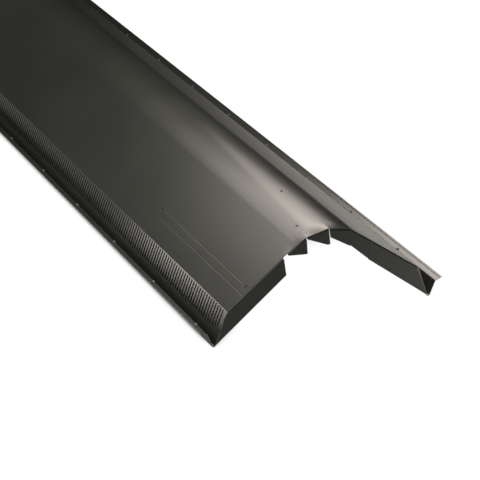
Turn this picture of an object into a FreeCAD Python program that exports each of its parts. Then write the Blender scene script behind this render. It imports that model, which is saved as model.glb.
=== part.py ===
import FreeCAD, Part
import math
import os
import Sketcher

# Ridge vent: one bent sheet that caps the ridge of a roof, open slots low on both sides, a rising
# wind baffle outside the slots and folded tabs that close the ends.
# Millimetres; X across the ridge, Y along it, Z up; the sheet stands on its two trough folds.

doc = FreeCAD.newDocument("ridge_vent")
sheet = doc.addObject("Spreadsheet::Sheet", "sizes")

SIZES = (
    ("vent_length", 1219.2),
    ("half_width", 142.875),
    ("crown_height", 106.2),
    ("thickness", 0.6),
    ("crown_radius", 60.0),
    ("slope_angle", 36.6),
    ("fold_radius", 2.5),
    ("wall_angle", 70.0),
    ("trough_reach", 126.96),
    ("trough_radius", 1.8),
    ("baffle_angle", 68.7),
    ("lip_angle", 15.7),
    ("lip_radius", 1.2),
    ("lip_height", 19.0),
    ("slot_width", 2.3),
    ("slot_pitch", 5.08),
    ("slot_length", 22.7),
    ("slot_foot_gap", 14.5),
    ("slot_end_margin", 4.0),
    ("tooth_start", 45.1),
    ("first_tooth_width", 20.6),
    ("tooth_width", 25.2),
    ("tooth_gap", 0.9),
    ("tooth_depth", 17.7),
    ("tooth_tip", 3.4),
    ("tooth_lean", 2.4),
    ("blunt_depth", 10.0),
    ("tab_inner_reach", 50.0),
    ("tab_lean", 4.0),
    ("tab_edge_angle", 38.2),
    ("nail_hole_diameter", 3.2),
    ("nail_row_rise", 31.5),
    ("nail_end_gap", 8.8),
    ("nail_spacing", 197.0),
    ("shoulder_hole_turn", 20.4),
    ("shoulder_hole_gap", 26.0),
    ("crown_hole_gap", 98.0),
)

for row, (alias, value) in enumerate(SIZES, start=1):
    sheet.set("A%d" % row, alias)
    sheet.set("B%d" % row, repr(value))
    sheet.setAlias("B%d" % row, alias)
doc.recompute()

V = dict(SIZES)

# Derived places, as formulas for the sketches and as numbers for their first guesses
LINE_TOP = "(sizes.crown_height - sizes.thickness / 2)"
LINE_RADIUS = "(sizes.crown_radius - sizes.thickness / 2)"
CROWN_CENTRE = "(sizes.crown_height - sizes.crown_radius)"
PANEL_APEX = "(%s + %s / cos(sizes.slope_angle * 1 deg))" % (CROWN_CENTRE, LINE_RADIUS)
TROUGH_LIFT = "(sizes.trough_radius + sizes.thickness / 2)"
FOOT_X = "(sizes.trough_reach - sizes.trough_radius * sin(sizes.wall_angle * 1 deg))"
FOOT_Z = "(%s - sizes.trough_radius * cos(sizes.wall_angle * 1 deg))" % TROUGH_LIFT

slope = math.radians(V["slope_angle"])
wall = math.radians(V["wall_angle"])
baffle = math.radians(V["baffle_angle"])
lip = math.radians(V["lip_angle"])
line_radius = V["crown_radius"] - V["thickness"] / 2.0
crown_centre = V["crown_height"] - V["crown_radius"]
panel_apex = crown_centre + line_radius / math.cos(slope)
trough_lift = V["trough_radius"] + V["thickness"] / 2.0
foot_x = V["trough_reach"] - V["trough_radius"] * math.sin(wall)
foot_z = trough_lift - V["trough_radius"] * math.cos(wall)
fold_z = (panel_apex - (foot_x + foot_z / math.tan(wall)) * math.tan(slope)) / (
    1.0 - math.tan(slope) / math.tan(wall))
fold_x = (panel_apex - fold_z) / math.tan(slope)

body = doc.addObject("PartDesign::Body", "Body")
body.Label = "vent_sheet"


def origin_item(role):
    """The named origin plane or axis of the body."""
    for item in body.Origin.OriginFeatures:
        if item.Role == role:
            return item
    raise ValueError(role)


def new_sketch(name, role):
    """An empty sketch on one of the body's origin planes."""
    sketch = body.newObject("Sketcher::SketchObject", name)
    sketch.AttachmentSupport = [(origin_item(role), "")]
    sketch.MapMode = "FlatFace"
    return sketch


def vec(x, y):
    return FreeCAD.Vector(x, y, 0.0)


def arc(cx, cy, radius, start, end):
    circle = Part.Circle(vec(cx, cy), FreeCAD.Vector(0, 0, 1), radius)
    return Part.ArcOfCircle(circle, start, end)


def bind(sketch, constraint, formula):
    """Add a constraint and tie its size to a formula."""
    index = sketch.addConstraint(constraint)
    sketch.setExpression("Constraints[%d]" % index, formula)
    return index


def place(sketch, geo, point, x, y):
    """Tie a point to a place in the sketch; each of x and y is a (number, formula) pair or None."""
    if x is not None:
        bind(sketch, Sketcher.Constraint("DistanceX", -1, 1, geo, point, x[0]), x[1])
    if y is not None:
        bind(sketch, Sketcher.Constraint("DistanceY", -1, 1, geo, point, y[0]), y[1])


# Right half of the sheet's middle line, from the crown out to the lip
path = new_sketch("section_line", "XZ_Plane")
quarter = math.pi / 2.0
tangent_x = line_radius * math.sin(slope)
tangent_z = crown_centre + line_radius * math.cos(slope)
fold_r = V["fold_radius"]
fold_cut = fold_r * math.tan((wall - slope) / 2.0)
fold_in = vec(fold_x - fold_cut * math.cos(slope), fold_z + fold_cut * math.sin(slope))
fold_out = vec(fold_x + fold_cut * math.cos(wall), fold_z - fold_cut * math.sin(wall))
fold_centre = fold_in - vec(fold_r * math.sin(slope), fold_r * math.cos(slope))
trough = vec(V["trough_reach"], trough_lift)
trough_r = V["trough_radius"]
rise_start = trough + vec(trough_r * math.sin(baffle), -trough_r * math.cos(baffle))
lip_r = V["lip_radius"]
lip_end = vec(V["half_width"] - V["thickness"] * 0.5 * math.sin(lip), V["lip_height"])
run = (lip_end.y - rise_start.y - (lip_end.x - rise_start.x) * math.tan(lip)) / (
    math.sin(baffle) - math.cos(baffle) * math.tan(lip))
bend = rise_start + vec(run * math.cos(baffle), run * math.sin(baffle))
lip_cut = lip_r * math.tan((baffle - lip) / 2.0)
rise_end = bend - vec(lip_cut * math.cos(baffle), lip_cut * math.sin(baffle))
lip_start = bend + vec(lip_cut * math.cos(lip), lip_cut * math.sin(lip))
lip_centre = rise_end + vec(lip_r * math.sin(baffle), -lip_r * math.cos(baffle))

path.addGeometry(arc(0.0, crown_centre, line_radius, quarter - slope, quarter))
path.addGeometry(Part.LineSegment(vec(tangent_x, tangent_z), fold_in))
path.addGeometry(arc(fold_centre.x, fold_centre.y, fold_r, quarter - wall, quarter - slope))
path.addGeometry(Part.LineSegment(fold_out, vec(foot_x, foot_z)))
path.addGeometry(arc(trough.x, trough.y, trough_r, 1.5 * math.pi - wall, 1.5 * math.pi + baffle))
path.addGeometry(Part.LineSegment(rise_start, rise_end))
path.addGeometry(arc(lip_centre.x, lip_centre.y, lip_r, quarter + lip, quarter + baffle))
path.addGeometry(Part.LineSegment(lip_start, lip_end))
for first, first_end, second, second_end in (
    (0, 1, 1, 1), (1, 2, 2, 2), (2, 1, 3, 1), (3, 2, 4, 1), (4, 2, 5, 1), (5, 2, 6, 2), (6, 1, 7, 1),
):
    path.addConstraint(Sketcher.Constraint("Tangent", first, first_end, second, second_end))
path.addConstraint(Sketcher.Constraint("PointOnObject", 0, 3, -2))
path.addConstraint(Sketcher.Constraint("PointOnObject", 0, 2, -2))
bind(path, Sketcher.Constraint("Radius", 0, line_radius), LINE_RADIUS)
bind(path, Sketcher.Constraint("Radius", 2, fold_r), "sizes.fold_radius")
bind(path, Sketcher.Constraint("Radius", 4, trough_r), "sizes.trough_radius")
bind(path, Sketcher.Constraint("Radius", 6, lip_r), "sizes.lip_radius")
bind(path, Sketcher.Constraint("Angle", 1, -slope), "-sizes.slope_angle")
bind(path, Sketcher.Constraint("Angle", 3, -wall), "-sizes.wall_angle")
bind(path, Sketcher.Constraint("Angle", 5, baffle), "sizes.baffle_angle")
bind(path, Sketcher.Constraint("Angle", 7, lip), "sizes.lip_angle")
place(path, 0, 3, None, (crown_centre, CROWN_CENTRE))
place(path, 4, 3, (trough.x, "sizes.trough_reach"), (trough.y, TROUGH_LIFT))
place(path, 7, 2,
      (lip_end.x, "sizes.half_width - sizes.thickness / 2 * sin(sizes.lip_angle * 1 deg)"),
      (lip_end.y, "sizes.lip_height"))

# The sheet's cut edge at the crown: its thickness by the whole length
edge = new_sketch("sheet_edge", "YZ_Plane")
half_length = V["vent_length"] / 2.0
top = V["crown_height"]
low = top - V["thickness"]
corners = [vec(-half_length, low), vec(half_length, low), vec(half_length, top), vec(-half_length, top)]
for index in range(4):
    edge.addGeometry(Part.LineSegment(corners[index], corners[(index + 1) % 4]))
for index in range(4):
    edge.addConstraint(Sketcher.Constraint("Coincident", index, 2, (index + 1) % 4, 1))
for index, kind in enumerate(("Horizontal", "Vertical", "Horizontal", "Vertical")):
    edge.addConstraint(Sketcher.Constraint(kind, index))
place(edge, 0, 1, (-half_length, "-sizes.vent_length / 2"), (low, "sizes.crown_height - sizes.thickness"))
place(edge, 2, 1, (half_length, "sizes.vent_length / 2"), (top, "sizes.crown_height"))
doc.recompute()

half = body.newObject("PartDesign::AdditivePipe", "half_sheet")
half.Profile = (edge, [""])
half.Spine = (path, [])
half.Mode = "Standard"
half.Refine = False
doc.recompute()

both = body.newObject("PartDesign::Mirrored", "whole_sheet")
both.Originals = [half]
both.MirrorPlane = (origin_item("YZ_Plane"), [""])
both.Refine = False
body.Tip = both
doc.recompute()


def outline(sketch, items):
    """Draw one closed outline.

    Each item is (kind, x, y): the corner where an edge starts and the kind of that edge, "line" or
    "crown" for an arc of the crown; x and y are (number, formula) pairs, y is None on the crown arc.
    """
    first = sketch.GeometryCount
    count = len(items)
    points = []
    for kind, x, y in items:
        height = y[0] if y is not None else crown_centre + math.sqrt(line_radius ** 2 - x[0] ** 2)
        points.append(vec(x[0], height))
    starts = []
    ends = []
    for index, (kind, x, y) in enumerate(items):
        a = points[index]
        b = points[(index + 1) % count]
        if kind == "line":
            sketch.addGeometry(Part.LineSegment(a, b))
            starts.append(1)
            ends.append(2)
        else:
            angle_a = math.atan2(a.y - crown_centre, a.x)
            angle_b = math.atan2(b.y - crown_centre, b.x)
            sketch.addGeometry(arc(0.0, crown_centre, line_radius, angle_b, angle_a))
            starts.append(2)
            ends.append(1)
            geo = first + index
            sketch.addConstraint(Sketcher.Constraint("PointOnObject", geo, 3, -2))
            place(sketch, geo, 3, None, (crown_centre, CROWN_CENTRE))
            bind(sketch, Sketcher.Constraint("Radius", geo, line_radius), LINE_RADIUS)
    for index, (kind, x, y) in enumerate(items):
        following = (index + 1) % count
        sketch.addConstraint(Sketcher.Constraint(
            "Coincident", first + index, ends[index], first + following, starts[following]))
        place(sketch, first + index, starts[index], x, y)


def on_panel(x, formula):
    """The panel's middle line at a reach from the ridge, as (number, formula)."""
    return (panel_apex - abs(x) * math.tan(slope),
            "%s - (%s) * tan(sizes.slope_angle * 1 deg)" % (PANEL_APEX, formula))


def on_edge(x, formula):
    """The long tabs' lower edge at a reach from the ridge, as (number, formula)."""
    return (foot_z + (foot_x - abs(x)) * math.tan(math.radians(V["tab_edge_angle"])),
            "%s + (%s - (%s)) * tan(sizes.tab_edge_angle * 1 deg)" % (FOOT_Z, FOOT_X, formula))


def on_crown(x, formula):
    """The crown's middle line at a place across the ridge, as (number, formula)."""
    return (crown_centre + math.sqrt(line_radius ** 2 - x ** 2),
            "(%s + sqrt(%s ^ 2 - (%s) ^ 2))" % (CROWN_CENTRE, LINE_RADIUS, formula))


FOLD_Z = "((%s - (%s + %s / tan(sizes.wall_angle * 1 deg)) * tan(sizes.slope_angle * 1 deg))" \
    " / (1 - tan(sizes.slope_angle * 1 deg) / tan(sizes.wall_angle * 1 deg)))" % (PANEL_APEX, FOOT_X, FOOT_Z)
FOLD_X = "((%s - %s) / tan(sizes.slope_angle * 1 deg))" % (PANEL_APEX, FOLD_Z)

# End tabs: two long ones under the panels and three saw teeth under the crown
tabs = new_sketch("end_tabs", "XZ_Plane")
tabs.setExpression("AttachmentOffset.Base.z", "sizes.vent_length / 2")
reach = V["tab_inner_reach"]
lean = V["tab_lean"]
outline(tabs, [
    ("line", (-foot_x, "-%s" % FOOT_X), (foot_z, FOOT_Z)),
    ("line", (-fold_x, "-%s" % FOLD_X), (fold_z, FOLD_Z)),
    ("line", (-reach, "-sizes.tab_inner_reach"), on_panel(reach, "sizes.tab_inner_reach")),
    ("line", (-reach + lean, "-sizes.tab_inner_reach + sizes.tab_lean"),
     on_edge(reach - lean, "sizes.tab_inner_reach - sizes.tab_lean")),
])
right_reach = reach + lean
outline(tabs, [
    ("line", (foot_x, FOOT_X), (foot_z, FOOT_Z)),
    ("line", (fold_x, FOLD_X), (fold_z, FOLD_Z)),
    ("line", (right_reach, "sizes.tab_inner_reach + sizes.tab_lean"),
     on_panel(right_reach, "sizes.tab_inner_reach + sizes.tab_lean")),
    ("line", (reach, "sizes.tab_inner_reach"), on_edge(reach, "sizes.tab_inner_reach")),
])

TURN_X = "(%s * sin(sizes.slope_angle * 1 deg))" % LINE_RADIUS


def tooth_line(index):
    """Number and formula of a tooth's left end; the first tooth is narrower than the others."""
    if index == 0:
        return -V["tooth_start"], "(-sizes.tooth_start)"
    step = V["tooth_width"] + V["tooth_gap"]
    return (-V["tooth_start"] + V["first_tooth_width"] + V["tooth_gap"] + (index - 1) * step,
            "(-sizes.tooth_start + sizes.first_tooth_width + sizes.tooth_gap"
            " + %d * (sizes.tooth_width + sizes.tooth_gap))" % (index - 1))


for index in range(3):
    left, left_formula = tooth_line(index)
    width = "tooth_width" if index else "first_tooth_width"
    right = left + V[width]
    right_formula = "(%s + sizes.%s)" % (left_formula, width)
    right_top, top_formula = on_crown(right, right_formula)
    tip = right + V["tooth_lean"]
    tip_formula = "%s + sizes.tooth_lean" % right_formula
    depth = right_top - V["tooth_depth"]
    depth_formula = "%s - sizes.tooth_depth" % top_formula
    low_end = [
        ("line", (right, right_formula), None),
        ("line", (tip, tip_formula), (depth, depth_formula)),
        ("line", (tip - V["tooth_tip"], "%s - sizes.tooth_tip" % tip_formula), (depth, depth_formula)),
    ]
    if index == 2:
        share = V["blunt_depth"] / V["tooth_depth"]
        blunt_x = left + V["tooth_lean"] * share
        blunt_formula = "%s + sizes.tooth_lean * sizes.blunt_depth / sizes.tooth_depth" % left_formula
        left_top, left_top_formula = on_crown(left, left_formula)
        low_end.append(("line", (blunt_x, blunt_formula),
                        (left_top - V["blunt_depth"], "%s - sizes.blunt_depth" % left_top_formula)))
    if index == 0:
        start = [
            ("line", (left, left_formula), on_panel(left, "-%s" % left_formula)),
            ("crown", (-tangent_x, "-%s" % TURN_X), None),
        ]
    else:
        start = [("crown", (left, left_formula), None)]
    outline(tabs, start + low_end)
doc.recompute()

near = body.newObject("PartDesign::Pad", "near_tabs")
near.Profile = (tabs, [""])
near.Reversed = True
near.setExpression("Length", "sizes.thickness")
near.Refine = False

# The fourth tooth is tucked behind the right long tab
tuck = new_sketch("tucked_tab", "XZ_Plane")
tuck.setExpression("AttachmentOffset.Base.z", "sizes.vent_length / 2 - sizes.thickness")
tuck_start, tuck_formula = tooth_line(3)
tuck_top, tuck_top_formula = on_crown(tuck_start, tuck_formula)
outline(tuck, [
    ("crown", (tuck_start, tuck_formula), None),
    ("line", (tangent_x, TURN_X), None),
    ("line", (right_reach, "sizes.tab_inner_reach + sizes.tab_lean"),
     on_panel(right_reach, "sizes.tab_inner_reach + sizes.tab_lean")),
    ("line", (right_reach, "sizes.tab_inner_reach + sizes.tab_lean"),
     on_edge(right_reach, "sizes.tab_inner_reach + sizes.tab_lean")),
    ("line", (tuck_start, tuck_formula),
     (tuck_top - V["tooth_depth"], "%s - sizes.tooth_depth" % tuck_top_formula)),
])
doc.recompute()
near_tuck = body.newObject("PartDesign::Pad", "near_tuck")
near_tuck.Profile = (tuck, [""])
near_tuck.Reversed = True
near_tuck.setExpression("Length", "sizes.thickness")
near_tuck.Refine = False
body.Tip = near_tuck
doc.recompute()

# Both ends are folded alike, each seen from its own end
ends = body.newObject("PartDesign::PolarPattern", "both_ends")
ends.Originals = [near, near_tuck]
ends.Axis = (origin_item("Z_Axis"), [""])
ends.Angle = 360.0
ends.Occurrences = 2
ends.Refine = False
body.Tip = ends
doc.recompute()

# One slot of the louvred wall, cut square to the wall and repeated along both sides
slot = new_sketch("slot", "XY_Plane")
slot.AttachmentOffset = FreeCAD.Placement(
    FreeCAD.Vector(foot_x, 0.0, foot_z), FreeCAD.Rotation(FreeCAD.Vector(0, 1, 0), V["wall_angle"]))
slot.setExpression("AttachmentOffset.Base.x", FOOT_X)
slot.setExpression("AttachmentOffset.Base.z", FOOT_Z)
slot.setExpression("AttachmentOffset.Rotation.Angle", "sizes.wall_angle")
SLOTS = "(floor((sizes.vent_length - 2 * sizes.slot_end_margin - sizes.slot_width) / sizes.slot_pitch) + 1)"
slots = math.floor((V["vent_length"] - 2.0 * V["slot_end_margin"] - V["slot_width"]) / V["slot_pitch"]) + 1
first_slot = -(slots - 1) * V["slot_pitch"] / 2.0
FIRST_SLOT = "(-(%s - 1) * sizes.slot_pitch / 2)" % SLOTS
low_end = -V["slot_foot_gap"]
high_end = low_end - V["slot_length"]
side = V["slot_width"] / 2.0
low_formula = "-sizes.slot_foot_gap"
high_formula = "-sizes.slot_foot_gap - sizes.slot_length"
before = (first_slot - side, "%s - sizes.slot_width / 2" % FIRST_SLOT)
after = (first_slot + side, "%s + sizes.slot_width / 2" % FIRST_SLOT)
outline(slot, [
    ("line", (low_end, low_formula), before),
    ("line", (low_end, low_formula), after),
    ("line", (high_end, high_formula), after),
    ("line", (high_end, high_formula), before),
])
doc.recompute()

cut = body.newObject("PartDesign::Pocket", "one_slot")
cut.Profile = (slot, [""])
cut.Midplane = True
cut.setExpression("Length", "sizes.thickness * 4")
cut.Refine = False
body.Tip = cut
doc.recompute()

along = body.newObject("PartDesign::LinearPattern", "slots_along")
along.Direction = (origin_item("Y_Axis"), [""])
along.setExpression("Length", "sizes.slot_pitch * (%s - 1)" % SLOTS)
along.setExpression("Occurrences", SLOTS)
across = body.newObject("PartDesign::Mirrored", "slots_across")
across.MirrorPlane = (origin_item("YZ_Plane"), [""])
rows = body.newObject("PartDesign::MultiTransform", "slot_rows")
rows.Originals = [cut]
rows.Transformations = [along, across]
rows.Refine = False
body.Tip = rows
doc.recompute()

# Nail holes in the left and right panels near both ends
nails = new_sketch("nail_holes", "XY_Plane")
nails.AttachmentOffset = FreeCAD.Placement(
    FreeCAD.Vector(fold_x, 0.0, fold_z), FreeCAD.Rotation(FreeCAD.Vector(0, 1, 0), V["slope_angle"]))
nails.setExpression("AttachmentOffset.Base.x", FOLD_X)
nails.setExpression("AttachmentOffset.Base.z", FOLD_Z)
nails.setExpression("AttachmentOffset.Rotation.Angle", "sizes.slope_angle")
hole_radius = V["nail_hole_diameter"] / 2.0
for index in range(2):
    y = -half_length + V["nail_end_gap"] + index * V["nail_spacing"]
    y_formula = "-sizes.vent_length / 2 + sizes.nail_end_gap + %d * sizes.nail_spacing" % index
    nails.addGeometry(Part.Circle(vec(-V["nail_row_rise"], y), FreeCAD.Vector(0, 0, 1), hole_radius))
    bind(nails, Sketcher.Constraint("Diameter", index, hole_radius * 2.0), "sizes.nail_hole_diameter")
    place(nails, index, 3, (-V["nail_row_rise"], "-sizes.nail_row_rise"), (y, y_formula))
doc.recompute()
nail_cut = body.newObject("PartDesign::Pocket", "panel_holes")
nail_cut.Profile = (nails, [""])
nail_cut.Midplane = True
nail_cut.setExpression("Length", "sizes.thickness * 4")
nail_cut.Refine = False
body.Tip = nail_cut
doc.recompute()
panel_across = body.newObject("PartDesign::Mirrored", "holes_across")
panel_across.MirrorPlane = (origin_item("YZ_Plane"), [""])
panel_along = body.newObject("PartDesign::Mirrored", "holes_along")
panel_along.MirrorPlane = (origin_item("XZ_Plane"), [""])
hole_rows = body.newObject("PartDesign::MultiTransform", "hole_rows")
hole_rows.Originals = [nail_cut]
hole_rows.Transformations = [panel_across, panel_along]
hole_rows.Refine = False
body.Tip = hole_rows
doc.recompute()

# One hole on the crown and one on its shoulder near each end
crown = new_sketch("crown_hole", "XY_Plane")
crown.setExpression("AttachmentOffset.Base.z", "sizes.crown_height")
shoulder = new_sketch("shoulder_hole", "XY_Plane")
turn = math.radians(V["shoulder_hole_turn"])
shoulder.AttachmentOffset = FreeCAD.Placement(
    FreeCAD.Vector(-line_radius * math.sin(turn), 0.0, crown_centre + line_radius * math.cos(turn)),
    FreeCAD.Rotation(FreeCAD.Vector(0, 1, 0), -V["shoulder_hole_turn"]))
shoulder.setExpression("AttachmentOffset.Base.x", "-%s * sin(sizes.shoulder_hole_turn * 1 deg)" % LINE_RADIUS)
shoulder.setExpression("AttachmentOffset.Base.z",
                       "%s + %s * cos(sizes.shoulder_hole_turn * 1 deg)" % (CROWN_CENTRE, LINE_RADIUS))
shoulder.setExpression("AttachmentOffset.Rotation.Angle", "-sizes.shoulder_hole_turn")
ridge_cuts = []
for sketch, gap in ((crown, "crown_hole_gap"), (shoulder, "shoulder_hole_gap")):
    y = -half_length + V[gap]
    sketch.addGeometry(Part.Circle(vec(0.0, y), FreeCAD.Vector(0, 0, 1), hole_radius))
    bind(sketch, Sketcher.Constraint("Diameter", 0, hole_radius * 2.0), "sizes.nail_hole_diameter")
    sketch.addConstraint(Sketcher.Constraint("PointOnObject", 0, 3, -2))
    place(sketch, 0, 3, None, (y, "-sizes.vent_length / 2 + sizes.%s" % gap))
    doc.recompute()
    ridge_cut = body.newObject("PartDesign::Pocket", sketch.Name + "_cut")
    ridge_cut.Profile = (sketch, [""])
    ridge_cut.Midplane = True
    ridge_cut.setExpression("Length", "sizes.thickness * 6")
    ridge_cut.Refine = False
    body.Tip = ridge_cut
    doc.recompute()
    ridge_cuts.append(ridge_cut)
ridge_ends = body.newObject("PartDesign::PolarPattern", "ridge_holes_ends")
ridge_ends.Originals = ridge_cuts
ridge_ends.Axis = (origin_item("Z_Axis"), [""])
ridge_ends.Angle = 360.0
ridge_ends.Occurrences = 2
ridge_ends.Refine = False
body.Tip = ridge_ends
doc.recompute()

for item in doc.Objects:
    if "Invalid" in item.State or "Error" in item.State:
        raise RuntimeError("%s: %s" % (item.Name, item.State))
shape = body.Shape
if shape.isNull() or not shape.isValid() or len(shape.Solids) != 1:
    raise RuntimeError("sheet is not one valid solid")

os.makedirs("parts", exist_ok=True)
body.Shape.exportStep(os.path.join("parts", "%s.step" % body.Label))
box = shape.BoundBox
print("vent_sheet", round(shape.Volume, 1), [round(v, 3) for v in (
    box.XMin, box.XMax, box.YMin, box.YMax, box.ZMin, box.ZMax)], "slots a side", slots)
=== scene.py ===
import cmath
import logging
import math
from dataclasses import dataclass, field, replace
from enum import Enum
from typing import Any, Sequence

import bpy
import numpy as np
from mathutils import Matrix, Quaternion, Vector


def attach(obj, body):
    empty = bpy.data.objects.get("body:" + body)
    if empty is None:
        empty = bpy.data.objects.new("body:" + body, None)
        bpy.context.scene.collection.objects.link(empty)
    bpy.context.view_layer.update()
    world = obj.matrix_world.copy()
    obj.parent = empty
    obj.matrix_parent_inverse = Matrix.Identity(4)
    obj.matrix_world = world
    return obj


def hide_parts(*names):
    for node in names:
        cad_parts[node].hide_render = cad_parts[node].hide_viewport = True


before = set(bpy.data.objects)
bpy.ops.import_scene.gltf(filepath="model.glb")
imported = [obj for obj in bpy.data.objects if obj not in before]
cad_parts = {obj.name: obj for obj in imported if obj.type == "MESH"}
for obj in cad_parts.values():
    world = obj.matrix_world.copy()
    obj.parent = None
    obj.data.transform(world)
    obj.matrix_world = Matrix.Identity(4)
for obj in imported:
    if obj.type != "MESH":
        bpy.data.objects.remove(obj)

LOG = logging.getLogger("ridge_vent")
Array = np.ndarray
Pair = tuple[float, float]
Triple = tuple[float, float, float]
Numbers = tuple[float, ...]
Colour = tuple[float, float, float, float]
SAME = 3e-6  # Places in metres closer than this are one place
APART = 2e-6  # Lines in metres closer than this become one line
WELD_STEPS = 1e6  # Steps a metre in which points that coincide become one point
WELD_SHIFT = 0.37  # Keeps round lengths away from the edges of those steps
TINY = 1e-12  # Keeps rounding out of divisions and counts
WHITE: Colour = (1.0, 1.0, 1.0, 1.0)
WARM: Triple = (1.0, 0.91, 0.84)


def together(*parts: Array) -> Array:
    """The parts side by side on a new last axis."""
    return np.stack(parts, axis=-1)


def in_space(place: Array, y: Any) -> Array:
    """Points in space, from places in the section and along the length."""
    return together(place.real, np.broadcast_to(y, place.shape), place.imag)


def placed(name: str, data: bpy.types.ID) -> bpy.types.Object:
    """A new object of the scene, at the origin."""
    thing = bpy.data.objects.new(name, data)
    bpy.context.scene.collection.objects.link(thing)
    return thing


class Stretch(Enum):
    """Stretches of the sheet's middle line, from the crown outwards."""

    CROWN = 0
    PANEL = 1
    FOLD = 2
    WALL = 3
    TROUGH = 4
    BAFFLE = 5
    LIP_BEND = 6
    LIP = 7


class Side(Enum):
    """Sides of the ridge, with the sign of X there."""

    LEFT = -1
    RIGHT = 1


@dataclass(frozen=True)
class Section:
    """Measures of the bent sheet, in metres and radians.

    A place in the section is a complex number, across plus i times up. The middle line is a chain of
    straights and arcs, and a place on it is given by its run, the way along the sheet from the crown,
    which is negative on the left.
    """

    crown_height: float = 0.1062
    thickness: float = 0.0006
    crown_radius: float = 0.060
    slope: float = math.radians(36.6)
    fold_radius: float = 0.0025
    wall: float = math.radians(70.0)
    trough_reach: float = 0.12696
    trough_radius: float = 0.0018
    baffle: float = math.radians(68.7)
    lip: float = math.radians(15.7)
    lip_radius: float = 0.0012
    lip_height: float = 0.019
    half_width: float = 0.142875
    fold_steps: int = 7
    length: float = 1.2192
    end_radius: float = 0.0015
    hole_radius: float = 0.0016
    hole_patch: float = 0.0036

    @property
    def half(self) -> float:
        """Distance from the middle to an end."""
        return self.length / 2.0

    @property
    def panel_end(self) -> float:
        """Distance from the middle to where the end tabs start to bend."""
        return self.half - self.end_radius - self.thickness / 2.0

    @property
    def middle_radius(self) -> float:
        """Radius of the crown's middle line."""
        return self.crown_radius - self.thickness / 2.0

    @property
    def trough(self) -> complex:
        """Centre of the trough bend."""
        return complex(self.trough_reach, self.trough_radius + self.thickness / 2.0)

    @property
    def foot(self) -> complex:
        """Place where the slotted wall meets the trough bend."""
        return self.trough - cmath.rect(self.trough_radius, math.pi / 2.0 - self.wall)

    @staticmethod
    def _way(start: complex, heading: float, end: complex, other: float) -> float:
        """Way to the line through an end on another heading: offset from it over the sine of the turn."""
        return ((end - start) * cmath.exp(-1j * other)).imag / math.sin(heading - other)

    def stretches(self) -> tuple[Array, Array]:
        """Lengths and curvatures of the stretches of the half line.

        Each straight is the way between two corners less what the bends at its ends take up, which is
        radius times the tangent of half the turn; each arc is radius times turn.

        Returns:
            Two arrays, one value for each stretch; curvature is negative where the sheet turns down.
        """
        crown = complex(0.0, self.crown_height - self.crown_radius)
        start = crown + cmath.rect(self.middle_radius, math.pi / 2.0 - self.slope)
        panel = self._way(start, -self.slope, self.foot, -self.wall)
        wall = abs(self.foot - start - cmath.rect(panel, -self.slope))
        rise = self.trough + cmath.rect(self.trough_radius, self.baffle - math.pi / 2.0)
        end = complex(self.half_width - self.thickness / 2.0 * math.sin(self.lip), self.lip_height)
        baffle = self._way(rise, self.baffle, end, self.lip)
        lip = abs(end - rise - cmath.rect(baffle, self.baffle))
        fold_cut = self.fold_radius * math.tan((self.wall - self.slope) / 2.0)
        lip_cut = self.lip_radius * math.tan((self.baffle - self.lip) / 2.0)
        lengths = np.array([
            self.middle_radius * self.slope, panel - fold_cut, self.fold_radius * (self.wall - self.slope),
            wall - fold_cut, self.trough_radius * (self.wall + self.baffle), baffle - lip_cut,
            self.lip_radius * (self.baffle - self.lip), lip - lip_cut])
        bends = np.array([
            -1.0 / self.middle_radius, 0.0, -1.0 / self.fold_radius, 0.0,
            1.0 / self.trough_radius, 0.0, -1.0 / self.lip_radius, 0.0])
        return lengths, bends

    def end_of(self, stretch: Stretch) -> float:
        """Run from the crown to the outer end of a stretch."""
        return float(np.cumsum(self.stretches()[0])[stretch.value])

    def fold_runs(self) -> Array:
        """Runs of the lines across the fold, all but the last."""
        start, stop = self.end_of(Stretch.PANEL), self.end_of(Stretch.FOLD)
        return np.linspace(start, stop, self.fold_steps)[:-1]

    def run_at(self, x: float) -> float:
        """Run to a place across the crown or panel.

        Args:
            x: Place across the ridge, negative on the left.

        Returns:
            Arc length on the crown, then slant length on the panel, with the sign of x.
        """
        turn = self.middle_radius * math.sin(self.slope)
        reach = abs(x)
        if reach <= turn:
            run = self.middle_radius * math.asin(reach / self.middle_radius)
        else:
            run = self.middle_radius * self.slope + (reach - turn) / math.cos(self.slope)
        return math.copysign(run, x)

    def line(self, run: Array) -> tuple[Array, Array]:
        """Points and outward normals of the middle line; the tangent towards larger runs is normal over i.

        Args:
            run: Runs from the crown, negative on the left.

        Returns:
            Two arrays of places, with the shape of run.
        """
        lengths, bends = self.stretches()
        starts = np.concatenate(([0.0], np.cumsum(lengths)))
        headings = np.concatenate(([0.0], np.cumsum(lengths * bends)))
        corners = np.concatenate(([0.0], np.cumsum(self._step(lengths, headings[:-1], bends))))
        reach = np.abs(run)
        index = np.clip(np.searchsorted(starts, reach, side="right") - 1, 0, len(lengths) - 1)
        past, heading, bend = reach - starts[index], headings[index], bends[index]
        top = 1j * (self.crown_height - self.thickness / 2.0)
        point = top + corners[index] + self._step(past, heading, bend)
        normal = 1j * np.exp(1j * (heading + bend * past))
        left = run < 0.0
        return np.where(left, -point.conj(), point), np.where(left, -normal.conj(), normal)

    @staticmethod
    def _step(past: Array, heading: Array, bend: Array) -> Array:
        """Way covered along a stretch of steady curvature: the integral of its heading.

        Args:
            past: Run into the stretch.
            heading: Heading at its start.
            bend: Its curvature.

        Returns:
            The steps, as places.
        """
        straight = bend == 0.0
        arc = np.expm1(1j * bend * past) / (1j * np.where(straight, 1.0, bend))
        return np.exp(1j * heading) * np.where(straight, past, arc)


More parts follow.
